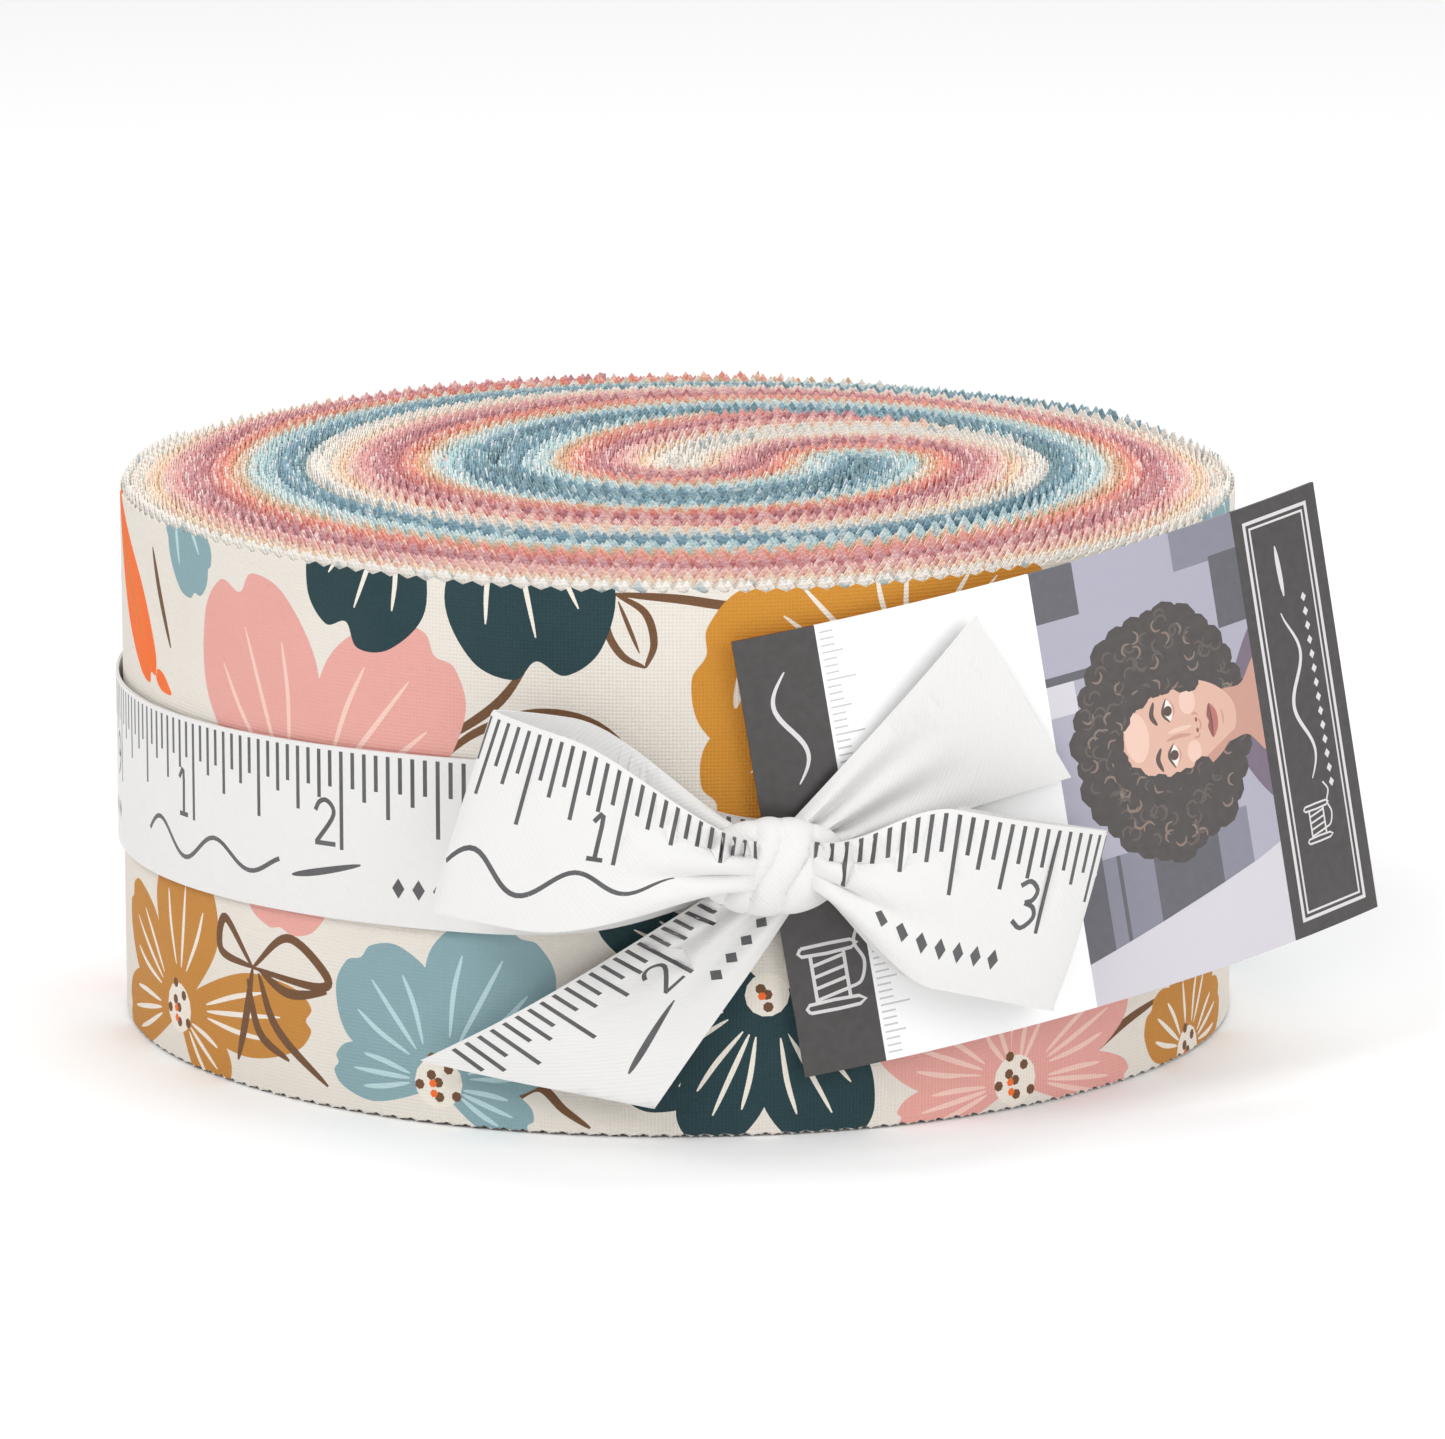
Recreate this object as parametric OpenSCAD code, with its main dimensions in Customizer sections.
// Rolled bundle of folded quilting strips, tied with a ribbon bow over a card hang tag.
// Millimetres, +Z up. The origin is on the roll's axis, in the plane it stands on.
// The bow is on the front of the roll, which faces -Y.

/* [Roll] */
// Width of the cut strips, which is the height of the roll
strip_w = 63.5; // [50:0.5:80]
// Radius of the finished roll
roll_r = 66; // [55:0.5:80]
// Number of strips, each folded in half, that are rolled up together
strip_count = 40; // [20:1:40]
// Air left between one folded strip and the next
strip_gap = 0.04; // [0.02:0.01:0.1]

/* [Ribbon] */
// Width of the ribbon
ribbon_w = 20; // [16:0.5:22]
// Thickness of the ribbon
ribbon_t = 0.5; // [0.4:0.05:0.8]
// Slack between the roll and the ribbon that is tied around it
ribbon_slack = 0.3; // [0.25:0.05:0.6]
// Height of the middle of the ribbon above the base
ribbon_z = 33; // [28:0.5:38]
// Angle of the bow round the roll, to the right of the front
bow_turn = 9.7; // [-20:0.1:20]

/* [Bow] */
// Radius of the knot
knot_r = 6.5; // [6:0.1:7]
// Length of the left loop, from the middle of the knot
left_loop_len = 39; // [30:0.5:42]
// Height of the left loop at its far end, where the ribbon folds back on a slant
left_loop_h = 25; // [20:0.5:25]
// Rise of the left loop away from the knot, in degrees
left_loop_rise = 10; // [5:1:12]
// Length of the right loop, from the middle of the knot
right_loop_len = 41; // [30:0.5:42]
// Height of the right loop at its far end
right_loop_h = 21; // [18:0.5:22]
// Fall of the right loop away from the knot, in degrees
right_loop_fall = 12; // [10:1:14]
// Thickness of a loop at its fullest, outside to outside
loop_depth = 7; // [5:0.5:9]
// Length of the lower tail, from the middle of the knot
lower_tail_len = 39.5; // [30:0.5:40]
// Fall of the lower tail towards the left, in degrees
lower_tail_fall = 45; // [42:1:46]
// Length of the upper tail, from the middle of the knot
upper_tail_len = 34; // [25:0.5:36]
// Rise of the upper tail towards the right, in degrees
upper_tail_rise = 31; // [30:1:38]

/* [Hang tag] */
// Length of the card
tag_len = 76; // [60:1:90]
// Width of the card
tag_w = 51; // [40:1:55]
// Thickness of the card
tag_t = 0.5; // [0.4:0.05:0.8]
// Radius of the punched hole
tag_hole_r = 2.5; // [2:0.25:2.75]
// Distance from the near end of the card to the middle of the hole
tag_hole_inset = 4.5; // [4:0.5:6]
// Distance from the middle of the knot, to the right, at which the ribbon goes through the hole
tag_hole_shift = 3.5; // [2:0.5:3.5]
// Radius that the card is bent to
tag_bend_r = 119; // [100:1:160]
// Rise of the card's free end, in degrees
tag_rise = 9.5; // [5:0.5:14]

/* [Hidden] */
function two_digits(i) = str(i < 10 ? "0" : "", i);
function strip_name(i) = str("fabric_strip_", two_digits(i));
RIBBON_NODES = ["ribbon_band", "ribbon_neck", "bow_knot", "bow_loop_left", "bow_loop_right",
    "ribbon_tail_lower", "ribbon_tail_upper"];

// The strips lie side by side, pitch wide in all, bent double at the core and wound round it.
// Every stretch of the winding is an arc about one of three centres on the X axis, so a strip's
// path is a run of arcs that its depth from the inner side offsets. All the strips turn through
// the same steps, so that they nest.
pitch = roll_r / 3;
strip_pitch = pitch / strip_count;
arc_step = 7.5;
// Arcs under small_r take double steps, and none is tighter than least_r
small_r = 6;
least_r = 0.15;
// Air kept between the inner ends and the turn that closes round them
core_air = 0.12;

// Points along an arc about [cx, 0], without its last one
function arc_steps(r, sweep) = round(abs(sweep) / (r < small_r ? 2 * arc_step : arc_step));
function arc(cx, r, from, to) =
    let (held_r = max(least_r, r), n = arc_steps(held_r, to - from))
    [for (k = [0 : 1 : n - 1])
        let (a = from + (to - from) * k / n) [cx + held_r * cos(a), held_r * sin(a)]];

// Whole steps from the X axis to where a round of radius r about [cx, 0] meets one of radius
// limit_r about [limit_cx, 0]
function steps_to(cx, r, limit_cx, limit_r) =
    let (off = cx - limit_cx, c = (limit_r * limit_r - off * off - r * r) / (2 * off * r))
    floor((180 - acos(min(1, max(-1, c)))) / arc_step);

// One edge of a strip from the core outwards, at a depth. The middle of the strip says where
// its ends are: the inner end fills the core, and the outer end meets the roll's outline.
function strip_edge(depth, middle) =
    let (core_r = 2 * pitch - middle + strip_pitch / 2,
        core_turn = arc_step * steps_to(pitch, core_r, pitch / 2, 1.5 * pitch - core_air),
        last_r = 2.5 * pitch + depth,
        last_turn = arc_step * steps_to(pitch / 2, 2.5 * pitch + middle, 0, roll_r),
        last_a = 180 - last_turn)
    concat(
        arc(pitch, 2 * pitch - depth, 180 - core_turn, 180),
        arc(0, pitch - depth, 180, 360),
        arc(pitch, depth, 180, 0),
        arc(0, pitch + depth, 360, 180),
        arc(pitch / 2, 1.5 * pitch + depth, 180, 0),
        arc(0, 2 * pitch + depth, 360, 180),
        arc(pitch / 2, last_r, 180, last_a),
        [[pitch / 2 + last_r * cos(last_a), last_r * sin(last_a)]]);

function reversed(list) = [for (k = [len(list) - 1 : -1 : 0]) list[k]];

// Colours of the strips from the inner side of the winding to its outer side
strip_colors = ["#264a50", "#2f6270", "#86b0b8", "#a9c8c6", "#c9a27e", "#e2a06a", "#e2703f",
    "#b04a4c", "#8f4560", "#d98c86", "#e2a098", "#efb9a4", "#f0cda0", "#ecdcc6", "#e8e0d6"];
function strip_color(i) = strip_colors[floor((i - 1) * len(strip_colors) / strip_count)];

module fabric_strip(i) {
    inner = (i - 1) * strip_pitch + strip_gap / 2;
    outer = i * strip_pitch - strip_gap / 2;
    middle = (inner + outer) / 2;
    color(strip_color(i))
        linear_extrude(strip_w)
            polygon(concat(strip_edge(inner, middle), reversed(strip_edge(outer, middle))));
}

// Radii, from the roll's axis, of the layers at the bow
band_in_r = roll_r + ribbon_slack;
band_out_r = band_in_r + ribbon_t;
layer_gap = 0.4;
tag_in_r = band_out_r + layer_gap;
tag_out_r = tag_in_r + tag_t;
knot_back_r = tag_out_r + layer_gap;
knot_mid_r = knot_back_r + knot_r * 0.4;
neck_r = tag_hole_r - 0.05;
shell_fn = 96;
bow_color = "#ebeae8";

// Puts a piece that is drawn about the middle of the knot on the roll: x is to the right
// along the roll, -y is outwards and z is up
module at_bow(r, shift = 0) {
    rotate([0, 0, bow_turn]) translate([shift, -r, ribbon_z]) children();
}

module ribbon_band() {
    color(bow_color)
        translate([0, 0, ribbon_z - ribbon_w / 2])
            difference() {
                cylinder(h = ribbon_w, r = band_out_r, $fn = shell_fn);
                translate([0, 0, -1])
                    cylinder(h = ribbon_w + 2, r = band_in_r, $fn = shell_fn);
            }
}

// The ribbon where it passes through the tag's hole, from the band to the knot
module ribbon_neck() {
    color(bow_color)
        at_bow(band_out_r, tag_hole_shift)
            rotate([90, 0, 0]) cylinder(h = knot_back_r - band_out_r, r = neck_r, $fn = 48);
}

module knot_ball(grow) {
    at_bow(knot_mid_r) sphere(r = knot_r + grow, $fn = 48);
}

// A ball cut flat where it lies on the tag
module bow_knot() {
    back = knot_mid_r - knot_back_r;
    color(bow_color)
        at_bow(knot_mid_r)
            rotate([90, 0, 0])
                rotate_extrude($fn = 48)
                    intersection() {
                        circle(r = knot_r, $fn = 48);
                        translate([0, -back]) square([knot_r, back + knot_r]);
                    }
}

// Outline of a loop from above, as [distance from the knot, distance off the back]. Its two
// runs meet at the start and round the far end.
loop_steps = 14;
function loop_half(u, depth) = depth / 2 * pow(sin(180 * pow(u, 0.75)), 0.6);
function loop_side(from, to, depth, side) =
    [for (k = [0 : loop_steps])
        let (u = k / loop_steps) [from + (to - from) * u, side * loop_half(u, depth)]];

// Bends a straight outline to follow a round of radius bend, behind it
function bent(points, bend) =
    [for (p = points)
        let (a = p[0] / bend * 180 / PI) [(bend + p[1]) * sin(a), bend - (bend + p[1]) * cos(a)]];
function loop_outline(from, to, depth, middle, bend) =
    let (far_side = loop_side(from, to, depth, 1), near_side = loop_side(from, to, depth, -1),
        ring = concat(far_side, [for (k = [loop_steps - 1 : -1 : 1]) near_side[k]]))
    bent([for (p = ring) [p[0], p[1] + middle]], bend);

// A loop that runs to the right of the knot, standing just off the tag. It is gathered at the
// knot and opens evenly to its far end.
gather_w = 0.6;
loop_wall = 0.7;
module bow_loop(length, far_h, bend) {
    intersection() {
        translate([0, 0, -far_h / 2])
            linear_extrude(far_h)
                difference() {
                    polygon(loop_outline(0, length, loop_depth, loop_depth / 2, bend));
                    polygon(loop_outline(knot_r, length - loop_wall,
                        loop_depth - 2 * loop_wall, loop_depth / 2, bend));
                }
        rotate([90, 0, 0])
            translate([0, 0, -length])
                linear_extrude(length * 2)
                    polygon([[0, -gather_w / 2], [length, -far_h / 2], [length, far_h / 2],
                        [0, gather_w / 2]]);
    }
}

loop_back_r = tag_out_r + 2;
loop_clear = 0.1;
module bow_loop_left() {
    color(bow_color)
        difference() {
            at_bow(loop_back_r)
                rotate([0, left_loop_rise, 0])
                    mirror([1, 0, 0])
                        bow_loop(left_loop_len, left_loop_h, tag_bend_r * 0.75);
            knot_ball(loop_clear);
        }
}

module bow_loop_right() {
    color(bow_color)
        difference() {
            at_bow(loop_back_r)
                rotate([0, right_loop_fall, 0])
                    bow_loop(right_loop_len, right_loop_h, tag_bend_r);
            knot_ball(loop_clear);
        }
}

// A tail is a piece of a thin round shell about an upright axis behind the knot. The outline is
// [distance to the right of the knot, height above it].
tail_clear = 0.45;
module tail(outline, shell_r, back_r) {
    difference() {
        intersection() {
            at_bow(back_r - shell_r)
                translate([0, 0, -roll_r])
                    difference() {
                        cylinder(h = 2 * roll_r, r = shell_r + ribbon_t, $fn = shell_fn);
                        translate([0, 0, -1])
                            cylinder(h = 2 * roll_r + 2, r = shell_r, $fn = shell_fn);
                    }
            at_bow(knot_back_r - 20)
                rotate([90, 0, 0])
                    linear_extrude(60)
                        polygon(outline);
        }
        knot_ball(tail_clear);
    }
}

// Outline of a tail that runs along direction turn, widening evenly to far_w at its cut end,
// which leans by lean from square
tail_root_w = 0.4;
function tail_outline(length, far_w, turn, lean) =
    let (c = cos(turn), s = sin(turn), near = tail_root_w / 2, far = far_w / 2,
        slip = far * tan(lean))
    [for (p = [[0, -near], [length - slip, -far], [length + slip, far], [0, near]])
        [p[0] * c - p[1] * s, p[0] * s + p[1] * c]];

lower_tail_far_w = ribbon_w * 0.95;
lower_tail_lean = -37;
lower_tail_back_r = tag_out_r + 0.8;
module ribbon_tail_lower() {
    color(bow_color)
        tail(tail_outline(lower_tail_len, lower_tail_far_w, 180 + lower_tail_fall,
            lower_tail_lean), lower_tail_back_r, lower_tail_back_r);
}

upper_tail_far_w = ribbon_w;
upper_tail_back_r = tag_out_r + 1.5;
module ribbon_tail_upper() {
    color(bow_color)
        tail(tail_outline(upper_tail_len, upper_tail_far_w, upper_tail_rise, 0),
            tag_bend_r, upper_tail_back_r);
}

// The card is bent about an axis along its width, so it meets the bow flat and its free end
// curls back round the roll
module hang_tag() {
    hole_turn = tag_hole_inset / tag_bend_r * 180 / PI;
    sweep = tag_len / tag_bend_r * 180 / PI;
    color("#4a4444")
        difference() {
            at_bow(tag_in_r, tag_hole_shift)
                rotate([0, -tag_rise, 0])
                    translate([0, tag_bend_r, -tag_w / 2])
                        rotate([0, 0, -90 - hole_turn])
                            rotate_extrude(angle = sweep, $fn = 240)
                                translate([tag_bend_r, 0]) square([tag_t, tag_w]);
            at_bow(tag_in_r, tag_hole_shift)
                rotate([90, 0, 0])
                    translate([0, 0, -5])
                        cylinder(h = 10, r = tag_hole_r, $fn = 48);
        }
}

for (i = [1 : strip_count])
    fabric_strip(i);
ribbon_band();
ribbon_neck();
bow_knot();
bow_loop_left();
bow_loop_right();
ribbon_tail_lower();
ribbon_tail_upper();
hang_tag();
